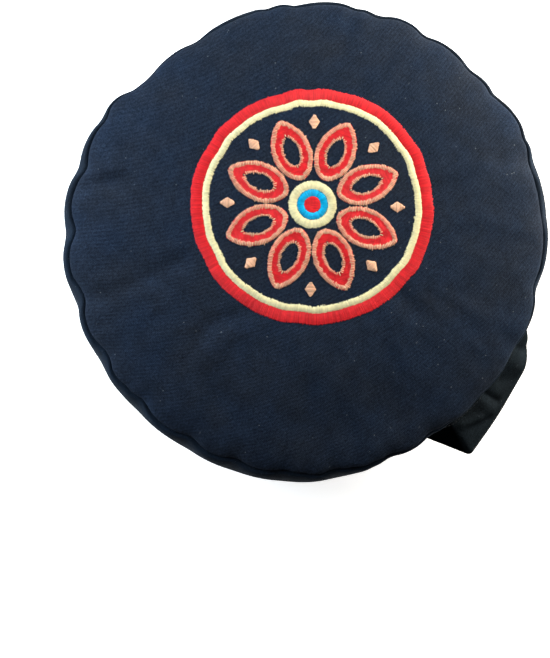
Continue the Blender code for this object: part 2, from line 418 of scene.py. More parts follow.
def filled_form(points):
    """The pattern pieces' points, moved to the filled cushion's form."""
    x, y, z = points.T
    share = np.minimum(np.hypot(x, y) / SEAM_RADIUS, 1.0)
    angle = np.arctan2(y, x)
    up = (z - LOWER_SEAM) / (UPPER_SEAM - LOWER_SEAM)
    on_wall = share > 1 - TOLERANCE
    top = smooth_round(*top_seam, angle)
    base = smooth_round(*base_seam, angle)
    wall = smooth_round(*wall_line, angle)
    pull = np.clip((share - CALM) / (1 - CALM), 0, 1) ** 2

    # on the wall, rows crowd towards the seams and the cloth swells out between them
    low, high = np.clip(up, 0, 1) ** CROWDING, np.clip(1 - up, 0, 1) ** CROWDING
    crowded = low / (low + high)
    height = LOWER_SEAM + (UPPER_SEAM - LOWER_SEAM) * crowded
    swell = (1 - np.abs(2 * crowded - 1) ** WALL_STRAIGHTNESS) ** WALL_FULLNESS
    seam_there = base + (top - base) * crowded
    wall_radius = seam_there + (wall - seam_there) * swell

    # the top panel is a dome, and the base is flat with a quarter round up to its seam
    is_top = up > 0.5
    rim = np.where(is_top, top, base)
    panel_radius = SEAM_RADIUS * share + (rim - SEAM_RADIUS) * pull
    crown = UPPER_SEAM + (CROWN_TOP - UPPER_SEAM) * (1 - share**2) ** CROWN_FULLNESS
    out = np.clip((panel_radius - REST_RADIUS) / (rim - REST_RADIUS), 0, 1)
    roll = LOWER_SEAM * (1 - np.sqrt(1 - out**2))
    panel_height = np.where(is_top, crown, roll)

    radius = np.where(on_wall, wall_radius, panel_radius)
    height = np.where(on_wall, height, panel_height)
    return np.stack([radius * np.cos(angle), radius * np.sin(angle), height], 1)


filled = filled_form(pattern)
set_points(cover.data, filled)
print("filled form:", (filled.min(0) * 1000).round(1), "to", (filled.max(0) * 1000).round(1), "mm")

# %% [markdown]
# The form is still too even. Real cloth is cut a little larger than the form it is drawn round, so
# it buckles near the seams and ripples down the wall. A cloth simulation finds that: the seams are
# pinned, the rest may grow a little, and the filling presses from inside.

# %% Let the cloth settle
SETTLE_FRAMES = 20
SPARE_CLOTH = 0.012  # how much longer the cloth is than the form


def settle(obj, pinned):
    """Lets the filling press the cloth out while the pinned points are held."""
    group = obj.vertex_groups.new(name="pinned")
    group.add([int(i) for i in np.flatnonzero(pinned)], 1.0, "REPLACE")
    cloth = obj.modifiers.new("settle", "CLOTH")
    cloth.settings.quality = 5
    cloth.settings.mass = 0.3
    cloth.settings.tension_stiffness = 20
    cloth.settings.compression_stiffness = 20
    cloth.settings.shear_stiffness = 8
    cloth.settings.bending_stiffness = 3
    cloth.settings.use_pressure = True
    cloth.settings.uniform_pressure_force = 4
    cloth.settings.effector_weights.gravity = 0
    cloth.settings.shrink_min = -SPARE_CLOTH
    cloth.settings.vertex_group_mass = group.name
    cloth.point_cache.frame_start = 1
    cloth.point_cache.frame_end = SETTLE_FRAMES
    for step in range(1, SETTLE_FRAMES + 1):
        bpy.context.scene.frame_set(step)
    only(obj)
    bpy.ops.object.modifier_apply(modifier=cloth.name)
    bpy.context.scene.frame_set(1)
    obj.vertex_groups.clear()


settle(cover, seam_rings)
settling = points_of(cover.data) - filled
print("in settling, the cloth moved up to", round(np.abs(settling).max() * 1000, 1), "mm")

# %% [markdown]
# The cloth has also swelled as a whole, which would change the cushion's size. So the mean movement
# at each distance along the profile is taken out, and only the uneven rest is used.

# %% The uneven part of the movement
PROFILE_STEPS = 90  # on each of the top, the wall and the base
TINY = 1e-9  # keeps a division from meeting zero


def profile_place(points):
    """0 to 1 from the top's middle to its seam, to 2 down the wall and to 3 at the base's middle."""
    share = np.hypot(points[:, 0], points[:, 1]) / SEAM_RADIUS
    up = (points[:, 2] - LOWER_SEAM) / (UPPER_SEAM - LOWER_SEAM)
    panel = np.where(up > 0.5, share, 3 - share)
    return np.where(share > 1 - TOLERANCE, 2 - up, panel)


def uneven_part(move, place, outward):
    """The movement, less its mean at each place along the profile."""
    steps = np.linspace(0, 3, PROFILE_STEPS * 3 + 1)
    number = np.clip(np.digitize(place, steps) - 1, 0, len(steps) - 2)
    count = np.maximum(np.bincount(number, minlength=len(steps) - 1), 1)
    middles = (steps[1:] + steps[:-1]) / 2
    uneven = move.copy()
    for direction in (outward, np.tile((0.0, 0.0, 1.0), (len(move), 1))):
        part = (move * direction).sum(1)
        mean = np.bincount(number, part, minlength=len(steps) - 1) / count
        filled_in = count > 1
        uneven -= np.interp(place, middles[filled_in], mean[filled_in])[:, None] * direction
    return uneven


place = profile_place(pattern)
outward = pattern * (1, 1, 0)
outward /= np.maximum(np.linalg.norm(outward, axis=1, keepdims=True), TINY)
ripple = uneven_part(settling, place, outward)
ripple[seam_rings] = 0
length = np.linalg.norm(ripple, axis=1, keepdims=True)
print("ripples reach", round(np.percentile(length, 99) * 1000, 1), "mm")

# %% [markdown]
# A well-filled cushion has shallower ripples than that. Each is eased down, so that it nears the
# most that its piece may move and never passes it. The base stays flat on the floor.

# %% Keep small ripples
TOP_MOVE = 0.0003
WALL_MOVE = 0.0010
BASE_MOVE = 0.0006

most = np.select([place < 1, place < 2], [TOP_MOVE, WALL_MOVE], BASE_MOVE)[:, None]
kept = ripple * most * np.tanh(length / most) / np.maximum(length, TINY)
kept[filled[:, 2] < TOLERANCE, 2] = 0
settled = filled + kept
settled[:, 2] = np.maximum(settled[:, 2], 0)
set_points(cover.data, settled)
print("the most that is kept is", round(np.linalg.norm(kept, axis=1).max() * 1000, 1), "mm")

# %% [markdown]
# The camera shows a few folds that are this cushion's own: short creases that start at puckers, and
# wider, softer hollows round the medallion. They are pressed in one by one, each as a trough or a
# ridge along a short line, and deepest on that line.

# %% The cushion's own folds
class Fold:
    """A soft trough along a line of places on flat cloth; a negative depth makes a ridge."""

    def __init__(self, depth, width, *line):
        self.depth = depth
        self.width = width
        self.line = [np.array(place) for place in line]


FOLDS = (
    Fold(0.0020, 0.004, (-0.073, 0.142), (-0.060, 0.131), (-0.044, 0.116)),
    Fold(-0.0011, 0.004, (-0.057, 0.138), (-0.046, 0.126)),
    Fold(0.0012, 0.006, (-0.057, 0.123), (-0.046, 0.111)),
    Fold(0.0016, 0.006, (-0.122, 0.084), (-0.099, 0.070), (-0.065, 0.053)),
    Fold(0.0012, 0.005, (-0.063, -0.002), (-0.085, 0.013), (-0.097, 0.014)),
    Fold(-0.0012, 0.008, (-0.090, 0.002), (-0.124, -0.001), (-0.142, -0.003)),
    Fold(0.0010, 0.006, (0.003, -0.072), (0.001, -0.086)),
    Fold(0.0010, 0.006, (0.070, -0.047), (0.080, -0.051)),
    Fold(0.0022, 0.006, (0.128, -0.077), (0.115, -0.069)),
    Fold(0.0022, 0.006, (-0.005, 0.150), (-0.007, 0.136)),
    Fold(0.0012, 0.007, (-0.114, 0.009), (-0.120, -0.015), (-0.123, -0.038)),
    Fold(0.0027, 0.022, (-0.098, -0.088), (-0.058, -0.110)),
    Fold(0.0012, 0.009, (-0.081, -0.061), (-0.100, -0.070)),
)


def trough(places, fold):
    """How far a fold lowers the cloth at each place."""
    nearest = np.full(len(places), np.inf)
    for start, end in zip(fold.line, fold.line[1:]):
        run = end - start
        share = np.clip((places - start) @ run / (run @ run), 0, 1)
        nearest = np.minimum(nearest, np.hypot(*(places - start - share[:, None] * run).T))
    return -fold.depth * np.exp(-((nearest / fold.width) ** 2))


print(len(FOLDS), "folds, up to", round(max(fold.depth for fold in FOLDS) * 1000, 1), "mm deep")

# %% [markdown]
# The medallion's borders are dense with thread, so they draw the cloth down too, in a shallow ring.

# %% Press them into the top panel
MEDALLION = np.array((0.0143, 0.0089))  # the embroidery lies a little off the panel's middle
BORDER_RADIUS = 0.0740
BORDER_PULL = 0.0005
BORDER_PULL_WIDTH = 0.0065


def press_folds(points):
    is_top = filled[:, 2] > UPPER_SEAM + TOLERANCE
    for fold in FOLDS:
        points[is_top, 2] += trough(points[is_top, :2], fold)
    away = (np.hypot(*(points[is_top, :2] - MEDALLION).T) - BORDER_RADIUS) / BORDER_PULL_WIDTH
    points[is_top, 2] -= BORDER_PULL * np.exp(-(away**2))
    return points


pressed = press_folds(points_of(cover.data))
set_points(cover.data, pressed)
print("the top panel is now up to", round(pressed[:, 2].max() * 1000, 1), "mm high")

# %% [markdown]
# Sewing draws the cloth in at each seam, which leaves the dark groove between the pieces. The cloth
# moves inwards and towards mid-height alike, most at the seam and hardly at all 2 mm from it.

# %% Draw in the seams
SEAM_TUCK = 0.0026
TUCK_WIDTH = 0.0010
SLANT = math.sqrt(0.5)  # the tuck goes as far inwards as it goes up or down


def draw_in_seams(points):
    """Pulls the cloth next to each seam inwards and to mid-height, most of all at the seam."""
    radius = np.hypot(filled[:, 0], filled[:, 1])
    angle = np.arctan2(filled[:, 1], filled[:, 0])
    inward = np.stack([-np.cos(angle), -np.sin(angle)], 1) * SLANT
    for seam, height, down in ((top_seam, UPPER_SEAM, -1), (base_seam, LOWER_SEAM, 1)):
        away = np.hypot(radius - smooth_round(*seam, angle), filled[:, 2] - height)
        tuck = SEAM_TUCK * np.exp(-((away / TUCK_WIDTH) ** 2))
        points[:, :2] += inward * tuck[:, None]
        points[:, 2] += down * SLANT * tuck
    return points


set_points(cover.data, draw_in_seams(pressed))
print("the seams are drawn in by", round(SEAM_TUCK * 1000, 1), "mm")

# %% [markdown]
# One level of subdivision rounds the cloth. The seams are creased first, so that they stay sharp
# through it. Then the cover is taken apart by material, into the band and the two panels.

# %% Subdivide and take apart
def crease_seams(obj):
    select_points(obj, seam_rings)
    bpy.ops.mesh.select_mode(type="EDGE")
    bpy.ops.transform.edge_crease(value=1)
    bpy.ops.object.mode_set(mode="OBJECT")


def refine(obj):
    subdivision = obj.modifiers.new("refine", "SUBSURF")
    subdivision.levels = subdivision.render_levels = 1
    subdivision.uv_smooth = "NONE"
    apply_modifiers(obj)


def take_apart(obj):
    """The band, the top panel and the base panel, each as its own object."""
    for number in (BAND, TOP, BASE):
        obj.data.materials.append(bpy.data.materials.new(f"piece_{number}"))
    only(obj)
    bpy.ops.object.mode_set(mode="EDIT")
    bpy.ops.mesh.separate(type="MATERIAL")
    bpy.ops.object.mode_set(mode="OBJECT")
    pieces = sorted(bpy.context.selected_objects, key=lambda p: points_of(p.data)[:, 2].mean())
    for piece in pieces:
        piece.data.materials.clear()
        print(piece.name, len(piece.data.vertices), "points, mean height",
              round(points_of(piece.data)[:, 2].mean() * 1000, 1), "mm")
    return pieces


crease_seams(cover)
refine(cover)
base_panel, band, top_panel = take_apart(cover)
top_panel.name, base_panel.name, band.name = "top_cloth", "base_cloth", "filled_side"

# %% [markdown]
# ## Materials
# Each cloth and each thread is a material of its own, with patterns led into its shader. A pattern
# is a few nodes that pass values on. These helpers make a material and join one node to others.

# %% Material helpers
def new_material(name):
    material = bpy.data.materials.new(name)
    material.use_nodes = True
    return material, material.node_tree, material.node_tree.nodes["Principled BSDF"]


def add_node(tree, kind, links=(), **settings):
    """A node with its settings; links give (socket, source output) pairs."""
    made = tree.nodes.new("ShaderNode" + kind)
    for name, value in settings.items():
        if name in made.inputs:
            made.inputs[name].default_value = value
        else:
            setattr(made, name, value)
    for socket, source in links:
        tree.links.new(source, made.inputs[socket])
    return made


# %% [markdown]
# A few steps come again and again: a cloudy noise, a value moved from one range to another, a colour
# that a pattern darkens or lightens, and a pattern that is felt as relief.

# %% Pattern helpers
def noise(tree, vector, scale, detail=2.0, roughness=0.6):
    """Clouds of a size of one over the scale, in metres."""
    settings = {"Scale": scale, "Detail": detail, "Roughness": roughness}
    made = add_node(tree, "TexNoise", [("Vector", vector)], **settings)
    return made.outputs["Fac"]


def remap(tree, source, low, high, to_low, to_high):
    made = add_node(tree, "MapRange", [(0, source)])
    for index, value in enumerate((low, high, to_low, to_high), 1):
        made.inputs[index].default_value = value
    return made.outputs[0]


def mix_colours(tree, factor, first, second, blend="MIX"):
    made = add_node(tree, "Mix", data_type="RGBA", blend_type=blend)
    for socket, value in ((0, factor), (6, first), (7, second)):
        if isinstance(value, bpy.types.NodeSocket):
            tree.links.new(value, made.inputs[socket])
        else:
            made.inputs[socket].default_value = value
    return made.outputs[2]


def shade_by(tree, colour, source, darkest, lightest, low=0.3, high=0.7):
    """The colour, darkened where the source is low and lightened where it is high."""
    factor = remap(tree, source, low, high, darkest, lightest)
    return mix_colours(tree, 1.0, colour, factor, "MULTIPLY")


def bump(tree, height, strength, distance, under=None):
    links = [("Height", height)] + ([("Normal", under)] if under else [])
    return add_node(tree, "Bump", links, Strength=strength, Distance=distance).outputs[0]


# %% [markdown]
# ## Twill
# The cloth is a cotton twill: threads that float over two and under two, each row one thread on, so
# fine raised lines run aslant. They come from the map that counts them. Up close there is also the
# crossing yarns' own grain, from the cut map. A few pale specks are lint: fibres caught in the weave.

# %% Waves and lint
WAVE_SCALE = math.pi / 10  # with this scale a wave texture repeats once each unit
LINT_TURN = 37  # turns a fibre by its length, so that long and short ones lie different ways
LINT_EDGE = (0.030, 0.075)  # from a fibre's middle to where it starts and ends to fade
LINT_CLUMPING = 0.06  # how softly places with lint pass into places without


def waves(tree, vector, direction, scale, **settings):
    made = add_node(
        tree, "TexWave", [("Vector", vector)], wave_type="BANDS", bands_direction=direction,
        Scale=scale, **settings,
    )
    return made.outputs["Fac"]


def lint(tree, cut, length, scale, rarity):
    """Short pale fibres caught in the weave: 1 on a fibre, 0 elsewhere."""
    stretched = add_node(tree, "Mapping", [("Vector", cut)], Rotation=(0, 0, LINT_TURN * length))
    stretched.inputs["Scale"].default_value = (scale / length, scale, scale)
    cells = add_node(tree, "TexVoronoi", [("Vector", stretched.outputs[0])], Scale=1.0)
    near = remap(tree, cells.outputs["Distance"], *LINT_EDGE, 1, 0)
    often = remap(tree, noise(tree, cut, scale / 2, 0.0), rarity, rarity + LINT_CLUMPING, 0, 1)
    both = add_node(tree, "Math", [(0, near), (1, often)], operation="MULTIPLY", use_clamp=True)
    return both.outputs[0]


# %% [markdown]
# From a step away the dye looks cloudy, bluer in one place and greyer in another. Closer up there is
# wear, then fuzz, then the nap of single fibres. Each is a noise of its own fineness, and each
# darkens and lightens the colour a little. The sides of the raised lines and the lint come last.

# %% The twill's colour
DYE_CLOUDS = (22, 3.0)  # clouds each metre, and their detail
SHADES = (
    # patches each metre, their detail and roughness, and how dark and light they make the colour
    (95, 4.0, 0.65, 0.82, 1.20),  # wear
    (420, 1.0, 0.60, 0.86, 1.16),  # fuzz
)
NAP_SHADE = (0.56, 1.50)
RIB_CONTRAST = 0.095
LINT_COLOUR = (0.22, 0.25, 0.28, 1)
LINT = (
    # a fibre's length for its width, fibres each metre, how rare they are, how strong
    (1.0, 150, 0.48, 0.42),
    (2.2, 120, 0.56, 0.16),
)


def dyed(tree, cut, ribs, nap, blue, grey, lines):
    """The cloth's colour, on its cut map; lines gives how strongly the raised lines show."""
    clouds = remap(tree, noise(tree, cut, *DYE_CLOUDS), 0.35, 0.65, 0, 1)
    colour = mix_colours(tree, clouds, blue, grey)
    for patches, detail, roughness, darkest, lightest in SHADES:
        patchy = noise(tree, cut, patches, detail, roughness)
        colour = shade_by(tree, colour, patchy, darkest, lightest)
    colour = shade_by(tree, colour, nap, *NAP_SHADE)
    contrast = RIB_CONTRAST * lines
    colour = shade_by(tree, colour, ribs, 1 - contrast, 1 + contrast, 0, 1)
    for length, scale, rarity, strength in LINT:
        share = remap(tree, lint(tree, cut, length, scale, rarity), 0, 1, 0, strength)
        colour = mix_colours(tree, share, colour, LINT_COLOUR)
    return colour


# %% [markdown]
# The relief has two layers: the raised lines with the nap on them, and over those the fine squares
# of the crossing yarns. The cloth is matt, with a faint bluish sheen where its fibres catch light.

# %% Twill cloth
YARN = 0.0009  # from one yarn to the next
NAP = (900, 2.0, 0.7)  # fibres each metre, their detail and roughness
LINE_HEIGHT = 0.22  # the raised lines' height, with the nap's as 1
LINE_RELIEF = (0.6, 0.0004)  # how strongly lines and nap are felt, and how deep they are
YARN_RELIEF = (0.35, 0.0003)
SHEEN_TINT = (0.55, 0.75, 1.0, 1)
PANEL_DYE = ((0.0102, 0.0173, 0.0328, 1), (0.0124, 0.0170, 0.0268, 1))  # bluer, greyer
SIDE_DYE = ((0.0084, 0.0144, 0.0252, 1), (0.0097, 0.0140, 0.0216, 1))


def woven(tree, cut, ribs, nap, lines):
    """The cloth's relief, as a normal."""
    relief = add_node(tree, "Math", [(0, ribs), (2, nap)], operation="MULTIPLY_ADD")
    relief.inputs[1].default_value = LINE_HEIGHT * lines
    raised = bump(tree, relief.outputs[0], *LINE_RELIEF)
    yarns = [waves(tree, cut, way, WAVE_SCALE / YARN, Distortion=0.6, Detail=1.0) for way in "XY"]
    weave = add_node(tree, "Math", [(0, yarns[0]), (1, yarns[1])], operation="MULTIPLY")
    return bump(tree, weave.outputs[0], *YARN_RELIEF, raised)


def twill(name, blue, grey, lines=1.0, sheen=0.02, gloss=0.04):
    """Dyed cotton twill on a "cut" map in metres and a "lines" map that counts its raised lines."""
    material, tree, shader = new_material(name)
    cut = add_node(tree, "UVMap", uv_map="cut").outputs[0]
    ribs = waves(tree, add_node(tree, "UVMap", uv_map="lines").outputs[0], "X", WAVE_SCALE)
    nap = noise(tree, cut, *NAP)
    colour = dyed(tree, cut, ribs, nap, blue, grey, lines)
    tree.links.new(colour, shader.inputs["Base Color"])
    tree.links.new(woven(tree, cut, ribs, nap, lines), shader.inputs["Normal"])
    shader.inputs["Roughness"].default_value = 0.92
    shader.inputs["Specular IOR Level"].default_value = gloss
    shader.inputs["Sheen Weight"].default_value = sheen
    shader.inputs["Sheen Roughness"].default_value = 0.5
    shader.inputs["Sheen Tint"].default_value = SHEEN_TINT
    print(name, "has", len(tree.nodes), "nodes")
    return material


panel_twill = twill("navy_twill", *PANEL_DYE)
side_twill = twill("navy_twill_side", *SIDE_DYE)


# %% [markdown]
# ## The two panels
# Each panel is a real sheet. Its outer face is the simulated one and its thickness goes inwards, so
# the outline doesn't grow.

# %% Finish the panels
PANEL_CLOTH = 0.0012


def thicken(obj, thickness, offset=-1):
    solid = obj.modifiers.new("thickness", "SOLIDIFY")
    solid.thickness = thickness
    solid.offset = offset
    solid.use_even_offset = False
    apply_modifiers(obj)


def finish_panel(panel, node):
    panel.data.materials.append(panel_twill)
    inner = panel.data.copy()
    thicken(panel, PANEL_CLOTH)
    panel.data.shade_smooth()
    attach(panel, "root")
    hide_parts(node)
    print(panel.name, "has", len(panel.data.polygons), "faces")
    return inner


top_skin = finish_panel(top_panel, "top_panel")
base_skin = finish_panel(base_panel, "bottom_panel")

# %% [markdown]
# ## The filled side
# The band and the filling behind it are one closed form. Copies of the panels' outer faces are set
# in by a little more than the panels' thickness and joined to the band, so the crown under the top
# panel is there too, and nothing is hollow.

# %% Join the filled side's three faces
SKIN_DEPTH = 0.0016


def set_in(mesh, depth):
    """Moves the mesh's points inwards along their normals."""
    normals = np.empty(len(mesh.vertices) * 3)
    mesh.vertices.foreach_get("normal", normals)
    set_points(mesh, points_of(mesh) - normals.reshape(-1, 3) * depth)


def join_skins(body, skins):
    """Sets in each panel's copy and makes it a part of the body."""
    parts = [body]
    for name, mesh in skins:
        set_in(mesh, SKIN_DEPTH)
        mesh.materials.clear()
        part = bpy.data.objects.new(name, mesh)
        bpy.context.scene.collection.objects.link(part)
        parts.append(part)
    only(body)
    for part in parts:
        part.select_set(True)
    bpy.ops.object.join()


join_skins(band, (("top_skin", top_skin), ("base_skin", base_skin)))
print("joined:", len(band.data.vertices), "points")

# %% [markdown]
# At each seam two edge loops are now open, the band's own and the set-in panel's. An open edge has a
# face on one side only, so it is found as non-manifold, and each seam's two loops are bridged.

# %% Bridge the two seams
MID_HEIGHT = (LOWER_SEAM + UPPER_SEAM) / 2


def bridge_seam(body, upper):
    only(body)
    bpy.ops.object.mode_set(mode="EDIT")
    bpy.ops.mesh.select_mode(type="EDGE")
    bpy.ops.mesh.select_all(action="DESELECT")
    bpy.ops.mesh.select_non_manifold(
        extend=False, use_wire=False, use_multi_face=False, use_non_contiguous=False,
        use_verts=False,
    )
    bpy.ops.object.mode_set(mode="OBJECT")
    for edge in body.data.edges:
        height = body.data.vertices[edge.vertices[0]].co.z
        edge.select = edge.select and (height > MID_HEIGHT) == upper
    bpy.ops.object.mode_set(mode="EDIT")
    bpy.ops.mesh.bridge_edge_loops()
    bpy.ops.object.mode_set(mode="OBJECT")


for upper in (False, True):
    bridge_seam(band, upper)
loose = sum(1 for edge in band.data.edges if edge.is_loose)
print("filled side:", len(band.data.polygons), "faces;", loose, "loose edges")

# %% [markdown]
# The body gets its cloth and takes the place of the imported band. Its filling gives when someone sits
# on it.

# %% Finish the filled side
band.data.materials.append(side_twill)
band.data.shade_smooth()
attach(band, "root")
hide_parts("filled_band")
print("the filled side is", round(np.ptp(points_of(band.data)[:, 0]) * 1000), "mm across")

# %% [markdown]
# ## The strap
# The handle is a strip of thin cotton, folded to four layers and pressed. Its two ends are sewn into
# the band, and between them it stands off the side with its lower edge further out, so it leans. Its
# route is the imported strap's: an upper and a lower edge, each of straight runs with eased corners.

# %% Corners of the strap
STRAP_WIDTH = 0.0385
STRAP_THICKNESS = 0.003
STRAP_TOP = 0.0885  # height of the upper edge
STRAP_CORNERS = (
    # along and out at the upper edge, along and out at the lower edge, how far a corner is eased
    (-0.0580, 0.1433, -0.0535, 0.1450, 0.0),
    (-0.0360, 0.1556, -0.0430, 0.1830, 0.0018),
    (-0.0100, 0.1611, -0.0100, 0.1832, 0.0140),
    (0.0340, 0.1580, 0.0335, 0.1780, 0.0060),
    (0.0480, 0.1540, 0.0465, 0.1690, 0.0060),
    (0.0620, 0.1455, 0.0600, 0.1460, 0.0),
)
CORNER_STEPS = 9  # points round an eased corner


def eased_path(corners):
    """Straight runs whose inner corners are rounded, from (place, ease) pairs."""
    path = [corners[0][0]]
    for (before, _), (corner, ease), (after, _) in zip(corners, corners[1:], corners[2:]):
        start = corner + (before - corner).normalized() * ease
        end = corner + (after - corner).normalized() * ease
        for step in range(CORNER_STEPS):
            share = step / (CORNER_STEPS - 1)
            path.append(start.lerp(corner, share).lerp(corner.lerp(end, share), share))
    path.append(corners[-1][0])
    return path


print("the strap turns", len(STRAP_CORNERS) - 2, "corners")

# %% [markdown]
# The strap is as wide all along, so where its lower edge stands further out it hangs less far down.
# Places along it are counted on the line midway between the two edges.

# %% The strap's two edges
def strap_route():
    """Stations along the strap in metres, with the upper and the lower edge's place at each."""
    upper = eased_path([(Vector((a, -out)), ease) for a, out, _, _, ease in STRAP_CORNERS])
    lower = eased_path([(Vector((a, -out)), ease) for _, _, a, out, ease in STRAP_CORNERS])
    leans = [(high - low).length_squared for high, low in zip(upper, lower)]
    drops = [math.sqrt(STRAP_WIDTH**2 - lean) for lean in leans]
    upper = np.array([(*place, STRAP_TOP) for place in upper])
    lower = np.array([(*place, STRAP_TOP - drop) for place, drop in zip(lower, drops)])
    middle = (upper + lower) / 2
    steps = np.linalg.norm(np.diff(middle, axis=0), axis=1)
    return np.concatenate([[0], np.cumsum(steps)]), upper, lower


stations, upper_edge, lower_edge = strap_route()
STRAP_LENGTH = stations[-1]
print("strap:", round(STRAP_LENGTH * 1000, 1), "mm long between its ends")

# %% [markdown]
# Handling has left soft folds across the strap. Each is a line on the flat strip, given as a place
# along it and a place up it from the lower edge, and the cloth goes in or out there.

# %% The strap's folds
STRAP_FOLDS = (
    Fold(0.0027, 0.0130, (0.022, 0.040), (0.112, 0.040)),
    Fold(0.0014, 0.0030, (0.064, 0.036), (0.068, 0.014)),
    Fold(-0.0010, 0.0045, (0.058, 0.030), (0.060, 0.012)),
    Fold(-0.0012, 0.0035, (0.036, 0.030), (0.050, 0.022)),
    Fold(0.0010, 0.0040, (0.042, 0.018), (0.054, 0.010)),
    Fold(0.0016, 0.0040, (0.104, 0.034), (0.110, 0.012)),
    Fold(-0.0012, 0.0050, (0.094, 0.030), (0.098, 0.012)),
    Fold(-0.0014, 0.0045, (0.117, 0.034), (0.119, 0.012)),
    Fold(0.0010, 0.0050, (0.080, 0.028), (0.086, 0.012)),
)
print(len(STRAP_FOLDS), "folds in the strap")

# %% [markdown]
# Any place on the flat strip has one place on the standing strap: so far along the route, so far up
# between its edges, and moved in or out by the folds. Past its ends the strip goes on in the same
# direction and dives into the band.

# %% From the flat strip to the route
SEWN_IN = 0.004  # length of each end that goes into the band
DIVE = 0.8  # how far a sewn-in end goes in for each metre along
SLOPE_REACH = 0.0015  # the strap's direction is read between two places this far on either side


def strap_place(along, up):
    """Places on the middle of the strap's thickness, and the way out from it."""
    along, up = np.asarray(along, float), np.asarray(up, float)
    share = (up / STRAP_WIDTH)[:, None]

    def at(where):
        edges = [
            np.stack([np.interp(where, stations, edge[:, axis]) for axis in range(3)], 1)
            for edge in (lower_edge, upper_edge)
        ]
        return edges[0] + (edges[1] - edges[0]) * share, edges[1] - edges[0]

    place, upwards = at(along)
    between = np.clip(along, SLOPE_REACH, STRAP_LENGTH - SLOPE_REACH)
    run = at(between + SLOPE_REACH)[0] - at(between - SLOPE_REACH)[0]
    out = np.cross(run, upwards)
    out /= np.linalg.norm(out, axis=1, keepdims=True)
    past = np.where(along < 0, along, np.maximum(along - STRAP_LENGTH, 0))[:, None]
    place = place + run / np.linalg.norm(run, axis=1, keepdims=True) * past
    place = place - out * np.abs(past) * DIVE
    folds = sum(trough(np.stack([along, up], 1), fold) for fold in STRAP_FOLDS)
    return place + out * folds[:, None], out


middle_of_strap, _ = strap_place([STRAP_LENGTH / 2], [STRAP_WIDTH / 2])
print("the strap's middle is at", (middle_of_strap[0] * 1000).round(1), "mm")

# %% [markdown]
# A flat grid of the strap's own size is laid along the route, so its weave runs true. Its flat
# places are kept as maps first, as the cover's were.

# %% Lay the strip along its route
STRAP_CUTS = (150, 34)
STRAP_LINES = 520  # raised lines each metre, along and up alike


def lay_strap():
    along, up = STRAP_CUTS
    bpy.ops.mesh.primitive_grid_add(x_subdivisions=along, y_subdivisions=up, size=1)
    strap = only(bpy.context.object)
    strap.name = "strap"
    bpy.ops.transform.resize(value=(STRAP_LENGTH + 2 * SEWN_IN, STRAP_WIDTH, 1))
    bpy.ops.transform.translate(value=(STRAP_LENGTH / 2, STRAP_WIDTH / 2, 0))
    bpy.ops.object.transform_apply(location=True, scale=True)
    strip = points_of(strap.data)
    while strap.data.uv_layers:
        strap.data.uv_layers.remove(strap.data.uv_layers[0])
    cut, lines = strap.data.uv_layers.new(name="cut"), strap.data.uv_layers.new(name="lines")
    for loop in strap.data.loops:
        x, y = strip[loop.vertex_index][:2]
        cut.data[loop.index].uv = (x, y)
        lines.data[loop.index].uv = (STRAP_LINES * x + STRAP_LINES * y, 0)
    set_points(strap.data, strap_place(strip[:, 0], strip[:, 1])[0])
    thicken(strap, STRAP_THICKNESS, 0)
    return strap


strap = lay_strap()
print("strap:", len(strap.data.polygons), "faces,", STRAP_THICKNESS * 1000, "mm thick")

# %% [markdown]
# The strip's long edges are folds of cloth, so they are rounded. The bevel takes every edge where
# the surface turns sharply, which are just those of the strip's outline.

# %% Round the strap's edges
STRAP_ROUNDING = 0.0012
SHARP_TURN = math.radians(50)  # an edge that turns more than this is rounded


def round_edges(obj, radius):
    bevel = obj.modifiers.new("rounded", "BEVEL")
    bevel.width = radius
    bevel.segments = 3
    bevel.limit_method = "ANGLE"
    bevel.angle_limit = SHARP_TURN
    apply_modifiers(obj)


only(strap)
bpy.ops.object.mode_set(mode="EDIT")
bpy.ops.mesh.select_all(action="SELECT")
bpy.ops.mesh.normals_make_consistent(inside=False)
bpy.ops.object.mode_set(mode="OBJECT")
round_edges(strap, STRAP_ROUNDING)
print("rounded strap:", len(strap.data.polygons), "faces")

# %% [markdown]
# The strap's cotton is finer and flatter than the cover's twill, with no sheen. The short return at
# one end, between the band and the strap's first corner, is painted darker: painted shade, where the
# strap turns back.

# %% The strap's cloth
STRAP_DYE = ((0.0084, 0.0120, 0.0152, 1), (0.0094, 0.0122, 0.0144, 1))  # bluer, greyer
RETURN_LENGTH = 0.029  # from the band out to the strap's first corner
RETURN_BLEND = 0.001  # half the stretch over which the painted shade fades in
RETURN_SHADE = 0.15  # how dark the painted shade makes the return


def paint_return_shade(material):
    """Paints shade on the return by darkening its colour, and leaves the rest as it is."""
    tree, shader = material.node_tree, material.node_tree.nodes["Principled BSDF"]
    unshaded_colour = shader.inputs["Base Color"].links[0].from_socket
    along = add_node(tree, "SeparateXYZ", [(0, add_node(tree, "UVMap", uv_map="cut").outputs[0])])
    start, end = RETURN_LENGTH - RETURN_BLEND, RETURN_LENGTH + RETURN_BLEND
    # painted shade: the colour is darkened on the return, out to the strap's first corner
    colour = shade_by(tree, unshaded_colour, along.outputs["X"], RETURN_SHADE, 1, start, end)
    tree.links.new(colour, shader.inputs["Base Color"])
    return material


strap_cotton = twill("strap_cotton", *STRAP_DYE, lines=0.5, sheen=0, gloss=0)
strap.data.materials.clear()
# the return gets painted shade
strap.data.materials.append(paint_return_shade(strap_cotton))
strap.data.shade_smooth()
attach(strap, "root")
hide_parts("carry_handle")

# %% [markdown]
# ## Stitches
# Embroidery is satin stitch: straight threads side by side, each from one edge of a shape to the
# other. One stitch is modelled here, one unit long, wide and high, as a five-sided thread whose ends
# dive into the cloth. Thousands of copies are stretched between their two ends and joined, a mesh for
# each colour of thread. Each copy gets its own tone, so the rows can be told apart.

